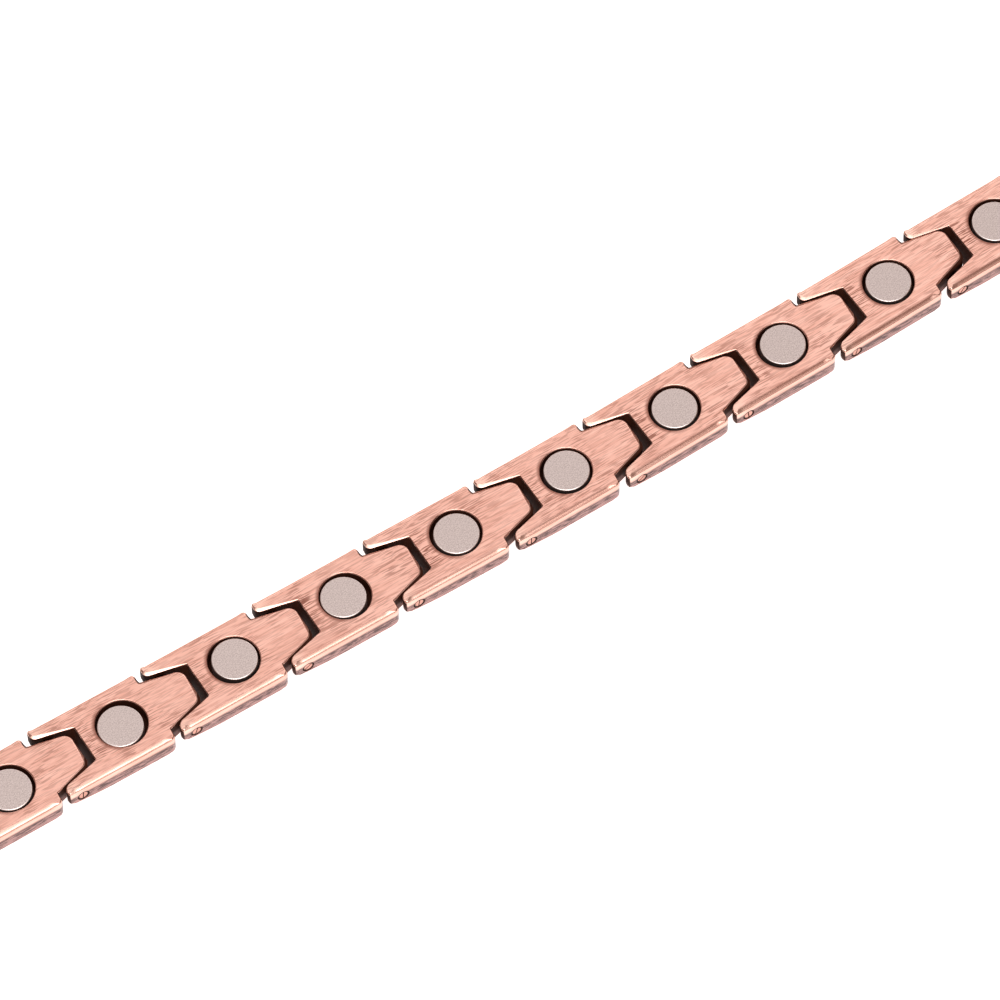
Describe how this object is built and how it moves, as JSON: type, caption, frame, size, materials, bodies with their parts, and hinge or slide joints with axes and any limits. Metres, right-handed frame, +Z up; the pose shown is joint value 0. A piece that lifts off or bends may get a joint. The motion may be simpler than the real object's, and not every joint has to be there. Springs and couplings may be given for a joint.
{
  "type": "magnetic link bracelet",
  "caption": "Hinged copper link bracelet with a disc magnet set in each link, opened and laid flat, magnets upward.",
  "frame": {"origin": "middle of the opened strap, on the surface that it lies on", "axes": "+X along the strap from the catch bar to the clasp, +Y across it, +Z up out of the faces with the magnets"},
  "size_m": [0.2138, 0.0098, 0.0027],
  "materials": {
    "copper": "rose copper, brushed along the strap, with dark patina in the gaps",
    "magnet": "matt nickel plate, finely grained",
    "pin": "rose copper wire, cut and filed flush"
  },
  "bodies": {
    "root": {"link_01": "copper", "link_02": "copper", "link_03": "copper", "link_04": "copper", "link_05": "copper", "link_06": "copper", "link_07": "copper", "link_08": "copper", "link_09": "copper", "link_10": "copper", "link_11": "copper", "link_12": "copper", "link_13": "copper", "link_14": "copper", "magnet_01": "magnet", "magnet_02": "magnet", "magnet_03": "magnet", "magnet_04": "magnet", "magnet_05": "magnet", "magnet_06": "magnet", "magnet_07": "magnet", "magnet_08": "magnet", "magnet_09": "magnet", "magnet_10": "magnet", "magnet_11": "magnet", "magnet_12": "magnet", "magnet_13": "magnet", "magnet_14": "magnet", "pin_01": "pin", "pin_02": "pin", "pin_03": "pin", "pin_04": "pin", "pin_05": "pin", "pin_06": "pin", "pin_07": "pin", "pin_08": "pin", "pin_09": "pin", "pin_10": "pin", "pin_11": "pin", "pin_12": "pin", "pin_13": "pin", "catch_bar": "pin", "clasp_pin": "pin", "clasp": "copper"}
  },
  "joints": []
}
